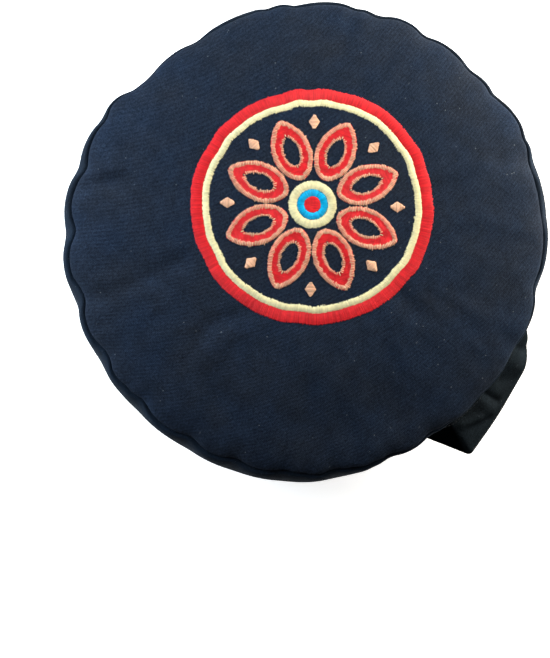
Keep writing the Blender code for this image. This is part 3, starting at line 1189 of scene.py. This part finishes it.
# %% Model one stitch
STITCH_SIDES = 5
STITCH_RINGS = (
    # share of the length, height of the thread's middle, thickness
    (0.0, -0.10, 0.50),
    (0.06, 0.38, 0.95),
    (0.5, 0.5, 1.0),
    (0.94, 0.38, 0.95),
    (1.0, -0.10, 0.50),
)


def model_stitch():
    """Points and faces of the stitch, which runs along X from 0 to 1."""
    bpy.ops.mesh.primitive_circle_add(vertices=STITCH_SIDES, radius=0.5, fill_type="NGON")
    stitch = only(bpy.context.object)
    bpy.ops.object.mode_set(mode="EDIT")
    bpy.ops.mesh.select_all(action="SELECT")
    bpy.ops.transform.rotate(value=math.pi / 2, orient_axis="Y", center_override=(0, 0, 0))
    at, high, thick = 0.0, 0.0, 1.0
    for ring_at, ring_high, ring_thick in STITCH_RINGS:
        if ring_at > 0:
            bpy.ops.mesh.extrude_region_move()
        bpy.ops.transform.translate(value=(ring_at - at, 0, ring_high - high))
        scale = ring_thick / thick
        bpy.ops.transform.resize(value=(1, scale, scale), center_override=(ring_at, 0, ring_high))
        at, high, thick = ring_at, ring_high, ring_thick
    bpy.ops.mesh.select_all(action="SELECT")
    bpy.ops.mesh.normals_make_consistent(inside=False)
    bpy.ops.object.mode_set(mode="OBJECT")
    points = points_of(stitch.data)
    faces = [tuple(face.vertices) for face in stitch.data.polygons]
    bpy.data.objects.remove(stitch)
    return points, faces


stitch_points, stitch_faces = model_stitch()
print("stitch:", len(stitch_points), "points,", len(stitch_faces), "faces, from",
      stitch_points.min(0).round(2), "to", stitch_points.max(0).round(2))

# %% [markdown]
# A copy runs from its start to its end, lies across the way that is up there, and follows the
# cloth's height if it is given one. Stitches aren't pulled equally tight, so their heights differ.

# %% Join copies of the stitch
chance = np.random.default_rng(11)
HEIGHT_SPREAD = (0.7, 1.3)


def stitched(name, starts, ends, up, width, height, material, onto=None):
    """A mesh of one stitch from each start to its end; onto gives the cloth's height at a place."""
    starts, ends = np.asarray(starts, float), np.asarray(ends, float)
    up = np.broadcast_to(np.asarray(up, float), starts.shape)
    run = ends - starts
    aside = np.cross(up, run)
    aside /= np.maximum(np.linalg.norm(aside, axis=1, keepdims=True), TINY)
    along, across, above = stitch_points.T[:, None, :, None]
    points = starts[:, None] + run[:, None] * along + aside[:, None] * across * width
    if onto:
        points[..., 2] += onto(points[..., 0], points[..., 1])
    height = height * chance.uniform(*HEIGHT_SPREAD, (len(starts), 1, 1))
    points = (points + up[:, None] * above * height).reshape(-1, 3)
    size = len(stitch_points)
    copies = range(len(starts))
    faces = [[i + size * copy for i in face] for copy in copies for face in stitch_faces]
    mesh = bpy.data.meshes.new(name)
    mesh.from_pydata(points.tolist(), [], faces)
    tone = mesh.attributes.new("tone", "FLOAT", "POINT")
    tone.data.foreach_set("value", np.repeat(chance.random(len(starts)), size))
    mesh.materials.append(material)
    mesh.shade_smooth()
    thread = bpy.data.objects.new(name, mesh)
    bpy.context.scene.collection.objects.link(thread)
    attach(thread, "root")
    print(name, len(starts), "stitches,", len(faces), "faces")
    return thread

# %% [markdown]
# Embroidery thread is shiny, but its shine lies in the many fine fibres, so on the whole it is soft.
# The tone that each stitch holds makes it a little darker or lighter than the next.

# %% Thread
DYE_PATCHES = 260  # each metre
FIBRES = 3500  # each metre


def thread_finish(name, colour, contrast=0.26, gloss=0.15):
    material, tree, shader = new_material(name)
    tone = add_node(tree, "Attribute", attribute_name="tone").outputs["Fac"]
    place = add_node(tree, "TexCoord").outputs["Object"]
    toned = shade_by(tree, (*colour, 1), tone, 1 - contrast, 1 + contrast / 2, 0, 1)
    toned = shade_by(tree, toned, noise(tree, place, DYE_PATCHES, 3.0), 0.88, 1.10)
    tree.links.new(toned, shader.inputs["Base Color"])
    grain = bump(tree, noise(tree, place, FIBRES, 1.0), 0.3, 0.0001)
    tree.links.new(grain, shader.inputs["Normal"])
    shader.inputs["Roughness"].default_value = 0.55
    shader.inputs["Specular IOR Level"].default_value = gloss
    print(name, colour)
    return material


red_thread = thread_finish("red_rayon", (0.70, 0.020, 0.026), 0.20)
gold_thread = thread_finish("peach_rayon", (0.76, 0.43, 0.27), 0.30)
cream_thread = thread_finish("cream_rayon", (0.81, 0.735, 0.428), 0.14)
blue_thread = thread_finish("blue_rayon", (0.0, 0.41, 0.72))
sewing_thread = thread_finish("navy_sewing", (0.012, 0.016, 0.020), gloss=0.1)

# %% [markdown]
# The stitches have to follow the crowned cloth. Its height is read once on a fine grid, by looking
# straight down at it, and the height at any place is then worked out between the four nearest.

# %% Height of the top cloth
GRID_REACH = 0.084
GRID_STEP = 0.001
LOOK_FROM = 0.3  # higher than any of the cloth


def height_grid(obj):
    tree = BVHTree.FromObject(obj, bpy.context.evaluated_depsgraph_get())
    offsets = np.arange(-GRID_REACH, GRID_REACH + GRID_STEP, GRID_STEP)

    def height_at(x, y):
        start = Vector((MEDALLION[0] + x, MEDALLION[1] + y, LOOK_FROM))
        return tree.ray_cast(start, Vector((0, 0, -1)))[0].z

    return np.array([[height_at(x, y) for y in offsets] for x in offsets])


top_heights = height_grid(top_panel)
LAST_CELL = len(top_heights) - 1.001  # just short of the grid's last line


def top_height(x, y):
    """Height of the top cloth at each place."""
    across = np.clip((x - MEDALLION[0] + GRID_REACH) / GRID_STEP, 0, LAST_CELL)
    up = np.clip((y - MEDALLION[1] + GRID_REACH) / GRID_STEP, 0, LAST_CELL)
    i, j = across.astype(int), up.astype(int)
    share_x, share_y = across - i, up - j
    near = top_heights[i, j] * (1 - share_y) + top_heights[i, j + 1] * share_y
    far = top_heights[i + 1, j] * (1 - share_y) + top_heights[i + 1, j + 1] * share_y
    return near * (1 - share_x) + far * share_x


low, high = top_heights.min() * 1000, top_heights.max() * 1000
print("the medallion lies", low.round(1), "to", high.round(1), "mm high")

# %% [markdown]
# ## The medallion
# Two borders of satin stitch run round it, red outside and cream inside. The cloth has given under
# the needle, so both waver together, as the table says. At the middle is a boss of plain rings that
# don't waver. Every ring is stitches side by side, each from the inner radius to the outer.

# %% Rings of satin stitch
PITCH = 0.00045  # from one stitch to the next
RAGGED = 0.0002  # how unevenly stitches start and end
WAVER = (
    # degrees round from the X axis, how far out in mm
    (8, 0.6), (38, -1.2), (45, -0.2), (53, -1.7), (68, -0.2), (95, 0.4), (121, 0.9), (140, 0.1),
    (175, 0.5), (218, -0.8), (250, -0.2), (275, 0.5), (300, 0.2), (315, -0.2), (350, 0.7),
)
RIPPLE = 0.00028  # the finer unevenness of the borders
waver_at = np.radians([angle for angle, _ in WAVER])
waver_out = np.array([out for _, out in WAVER]) / 1000


def around(radius, angle):
    """Places at a radius and an angle from the medallion's middle."""
    return np.stack([MEDALLION[0] + radius * np.cos(angle), MEDALLION[1] + radius * np.sin(angle)], 1)


def satin_ring(inner, outer, waver=1.0, ragged_in=RAGGED):
    """Stitches from the inner to the outer radius, side by side all round."""
    count = round(TURN * (inner + outer) / 2 / PITCH)
    angle = np.arange(count) * TURN / count
    # 13 waves all round, and 22 finer ones that come and go
    ripple = np.sin(13 * angle + 1) + np.sin(22 * angle + 2) * np.sin(3 * angle)
    out = (smooth_round(waver_at, waver_out, angle) + RIPPLE * ripple) * waver
    start = around(inner + out + chance.normal(0, ragged_in, count), angle)
    end = around(outer + out + chance.normal(0, RAGGED, count), angle)
    return start, end


print("the borders waver by", round(np.ptp(waver_out) * 1000, 1), "mm in all")

# %% [markdown]
# The borders and the boss's two outer rings are stitched now. Each colour of thread has its list of
# shapes, and the petals add theirs below.

# %% Borders and the boss's rings
RED_BORDER = (0.0701, 0.0778)  # the inner and the outer radius
CREAM_BORDER = (0.0659, 0.0704)
BOSS_CREAM = (0.0100, 0.0155)
BOSS_BLUE = (0.0053, 0.0099)
CREAM_RAGGED = 0.0003  # the cream border's inner edge is more uneven than the other edges

red = [satin_ring(*RED_BORDER)]
cream = [satin_ring(*CREAM_BORDER, ragged_in=CREAM_RAGGED), satin_ring(*BOSS_CREAM, waver=0)]
blue = [satin_ring(*BOSS_BLUE, waver=0)]
gold = []
print("rings:", sum(len(starts) for starts, _ in red + cream + blue), "stitches")

# %% [markdown]
# Inside the borders is a plain rosette: eight petals, outlined in peach and filled with red round an
# opening of bare cloth, and small peach diamonds between their tips. A petal and its opening are
# both leaves: blunt at each end, and widest a little before the middle.

# %% The form of a leaf
LEAF_SCALE = 2.452  # makes the widest place as wide as it is told to be
BLUNT_START = 0.6  # under 1 blunts an end, the more the smaller it is
BLUNT_END = 0.7


class Leaf:
    """A leaf-shaped outline on the medallion, from first to last along its midrib."""

    def __init__(self, angle, first, last, half_width):
        self.angle = angle
        self.first = first
        self.last = last
        self.half_width = half_width

    def reach(self, radius):
        """Half the leaf's width at each radius."""
        share = np.clip((radius - self.first) / (self.last - self.first), 0, 1)
        form = share**BLUNT_START * (1 - share) ** BLUNT_END
        return self.half_width * LEAF_SCALE * form

    def place(self, radius, aside):
        """Places at distances out along the leaf's midrib and aside from it."""
        way = np.array((math.cos(self.angle), math.sin(self.angle)))
        left = np.array((-way[1], way[0]))
        return MEDALLION + np.outer(radius, way) + np.outer(aside, left)


unit_leaf = Leaf(angle=0, first=0, last=1, half_width=1)
widest = unit_leaf.reach(np.linspace(0, 1, 101)).argmax()
print("a leaf is widest", widest, "% of the way along")

# %% [markdown]
# An outline is a row of short stitches across the line. They are set wide enough apart for the red
# under them to show between, and none starts or ends quite where its neighbour does.

# %% Stitches round a leaf
OUTLINE_POINTS = 720
OUTLINE_PITCH = 0.00110
OUTLINE_RAGGED = 0.00030
BEND_REACH = 0.0006  # the line's direction is read between two places this far on either side


def outline_stitches(leaf, width, offset):
    """Stitches across the leaf's outline, offset inwards from it."""
    turn = np.linspace(0, TURN, OUTLINE_POINTS, endpoint=False)
    radius = leaf.first + (leaf.last - leaf.first) * (1 - np.cos(turn)) / 2
    line = leaf.place(radius, leaf.reach(radius) * np.sign(math.pi - turn))
    steps = np.linalg.norm(np.roll(line, -1, 0) - line, axis=1)
    travelled = np.concatenate([[0], np.cumsum(steps)])
    count = round(travelled[-1] / OUTLINE_PITCH)
    at = np.arange(count) * travelled[-1] / count
    closed = np.vstack([line, line[:1]])

    def read(where):
        where = where % travelled[-1]
        return np.stack([np.interp(where, travelled, closed[:, axis]) for axis in (0, 1)], 1)

    middle = read(at)
    run = read(at + BEND_REACH) - read(at - BEND_REACH)
    inward = np.stack([run[:, 1], -run[:, 0]], 1) / np.linalg.norm(run, axis=1, keepdims=True)
    centre = leaf.place([(leaf.first + leaf.last) / 2], [0])
    inward *= np.sign(((centre - middle) * inward).sum(1))[:, None]
    ragged = chance.normal(0, OUTLINE_RAGGED, (2, count, 1))
    return middle + inward * (offset + ragged[0]), middle + inward * (offset + width + ragged[1])


# %% [markdown]
# A filled shape is satin stitch in rows across its midrib, on both sides of an opening if it has
# one. A row too long for one stitch is two, which meet at a place that changes from row to row, so
# that no line of joints shows.

# %% Rows over a filled shape
ROW_RAGGED = 0.0001
SHORTEST = 0.0006
LONGEST = 0.008  # a longer row is broken in two
BREAK_OVERLAP = 0.0004  # how far its first half runs under the second
BREAK_LEAST = 0.35  # the least share of a row that lies before its break
BREAK_ADDED = 0.3  # the most that is added to that share
BREAK_TURN = 0.382  # with each row the break moves on by this much of what can be added


def fill_rows(leaf, outer, inner=None):
    """Rows over a leaf out to a half width, and from an opening's half width if one is given."""
    starts, ends = [], []
    for number, radius in enumerate(np.arange(leaf.first, leaf.last, PITCH)):
        near = inner(radius) if inner else 0.0
        far = outer(radius)
        if far - near < SHORTEST:
            continue
        spans = [(-far, -near), (near, far)] if near > 0 else [(-far, far)]
        for low, high in spans:
            low += chance.normal(0, ROW_RAGGED)
            high += chance.normal(0, ROW_RAGGED)
            cuts = [low, high]
            if high - low > LONGEST:
                share = BREAK_LEAST + BREAK_ADDED * ((number * BREAK_TURN) % 1)
                cuts = [low, low + (high - low) * share, high]
            for start, end in zip(cuts, cuts[1:]):
                starts.append(leaf.place([radius], [start])[0])
                ends.append(leaf.place([radius], [end + BREAK_OVERLAP * (end < high)])[0])
    return np.array(starts), np.array(ends)

# %% [markdown]
# The red runs on a little way under both peach outlines, so that no bare cloth shows between them.

# %% A petal, its opening and a diamond
PETAL = (0.0172, 0.0590, 0.0128)  # where it starts and ends from the middle, and its half width
OPENING = (0.0275, 0.0470, 0.0048)
DIAMOND = (0.0490, 0.0600, 0.0036)
OUTLINE = 0.0030
OPENING_OUTLINE = 0.0018
BARE_AT_OPENING = 0.3  # share of the opening's outline that has no red under it
BARE_AT_EDGE = 0.06  # share of the petal's outline that has none


def red_rows(petal, opening):
    def from_opening(radius):
        inside = opening.first - OPENING_OUTLINE < radius < opening.last + OPENING_OUTLINE
        return float(opening.reach(radius)) + OPENING_OUTLINE * BARE_AT_OPENING if inside else 0.0

    def to_edge(radius):
        return float(petal.reach(radius)) - OUTLINE * BARE_AT_EDGE

    return fill_rows(petal, to_edge, from_opening)


def diamond_rows(angle):
    diamond = Leaf(angle, *DIAMOND)
    middle, half_length = (diamond.last + diamond.first) / 2, (diamond.last - diamond.first) / 2

    def to_edge(radius):
        return diamond.half_width * (1 - abs(radius - middle) / half_length)

    return fill_rows(diamond, to_edge)


# %% [markdown]
# The eight petals are alike and stand at equal angles. Each is stitched in the same order: its two
# outlines, its red, and the diamond between its tip and the next one's.

# %% Stitch the petals
PETALS = 8
PETAL_TURN = math.radians(14)

for number in range(PETALS):
    angle = PETAL_TURN + TURN * number / PETALS
    petal, opening = Leaf(angle, *PETAL), Leaf(angle, *OPENING)
    gold.append(outline_stitches(petal, OUTLINE, 0))
    gold.append(outline_stitches(opening, OPENING_OUTLINE, -OPENING_OUTLINE))
    red.append(red_rows(petal, opening))
    gold.append(diamond_rows(angle + math.pi / PETALS))
print(PETALS, "petals, the last with", len(red[-1][0]), "red stitches")

# %% [markdown]
# The middle of the boss is a red disc in straight rows. With it, every shape is there, and each
# colour is stitched onto the cloth as one mesh. The peach lies over the red and is a thicker thread.

# %% Fill the boss and stitch every colour
BOSS_RED = 0.0053
BOSS_TURN = 0.6  # radians that its rows are turned by
STITCH_WIDTH = PITCH * 1.25  # each overlaps the next a little
STITCH_HEIGHT = 0.00034
PEACH_WIDTH = 0.00072
PEACH_LIFT = 0.00022


def disc_rows(radius, angle):
    def to_edge(along):
        return math.sqrt(max(radius**2 - along * along, 0))

    return fill_rows(Leaf(angle, -radius, radius, radius), to_edge)


def embroider(name, shapes, material, width=STITCH_WIDTH, lift=0.0):
    """Stitches the shapes onto the top cloth, or a little above it where they cross other stitches."""
    flat = [np.vstack([shape[end] for shape in shapes]) for end in (0, 1)]
    starts, ends = (np.hstack([places, np.zeros((len(places), 1))]) for places in flat)
    return stitched(
        name, starts, ends, (0, 0, 1), width, STITCH_HEIGHT, material,
        onto=lambda x, y: top_height(x, y) + lift,
    )


red.append(disc_rows(BOSS_RED, BOSS_TURN))
embroider("red_embroidery", red, red_thread)
embroider("peach_embroidery", gold, gold_thread, PEACH_WIDTH, PEACH_LIFT)
embroider("cream_embroidery", cream, cream_thread)
embroider("blue_embroidery", blue, blue_thread)

# %% [markdown]
# ## Sewing on the strap
# Two rows of topstitch hold the strap's folded edges, and a row across each end fixes it to the
# band. The thread is the cloth's own colour, so it shows only up close.

# %% Rows of topstitch
TOPSTITCH_STEP = 0.0032
TOPSTITCH_LENGTH = 0.0026
ROW_FROM_EDGE = 0.0022
ROW_FROM_END = 0.0035
ROW_STOPS = (0.003, 0.004)  # how far short of the ends, and of the edges, a row stops


def strap_row(start, end):
    """Stitches on the strap's outer face along a line of its flat strip."""
    start, end = np.array(start), np.array(end)
    length = np.linalg.norm(end - start)
    at = np.arange(0, length - TOPSTITCH_LENGTH, TOPSTITCH_STEP)[:, None]
    way = (end - start) / length
    return start + way * at, start + way * (at + TOPSTITCH_LENGTH)


along_stop, across_stop = ROW_STOPS
rows = [
    strap_row((along_stop, up), (STRAP_LENGTH - along_stop, up))
    for up in (ROW_FROM_EDGE, STRAP_WIDTH - ROW_FROM_EDGE)
]
rows += [
    strap_row((along, across_stop), (along, STRAP_WIDTH - across_stop))
    for along in (ROW_FROM_END, STRAP_LENGTH - ROW_FROM_END)
]
print("topstitch:", [len(starts) for starts, _ in rows], "stitches in the rows")

# %% [markdown]
# The rows are carried from the flat strip to the standing strap, onto the outer face of its cloth.

# %% Topstitch the strap
TOPSTITCH_WIDTH = 0.0005
TOPSTITCH_HEIGHT = 0.0004
TOPSTITCH_SINK = 0.0001  # how deep the thread beds into the cloth

first, last = (np.vstack([row[end] for row in rows]) for end in (0, 1))
(first_place, way_out), (last_place, _) = strap_place(*first.T), strap_place(*last.T)
lift = way_out * (STRAP_THICKNESS / 2 - TOPSTITCH_SINK)
stitched(
    "strap_topstitch", first_place + lift, last_place + lift, way_out, TOPSTITCH_WIDTH,
    TOPSTITCH_HEIGHT, sewing_thread,
)

# %% [markdown]
# The script ends with the finished size, which a maker would compare with the imported model's box.

# %% Measure and finish
low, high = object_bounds()
print("finished size, mm:", [round((most - least) * 1000, 1) for least, most in zip(low, high)])
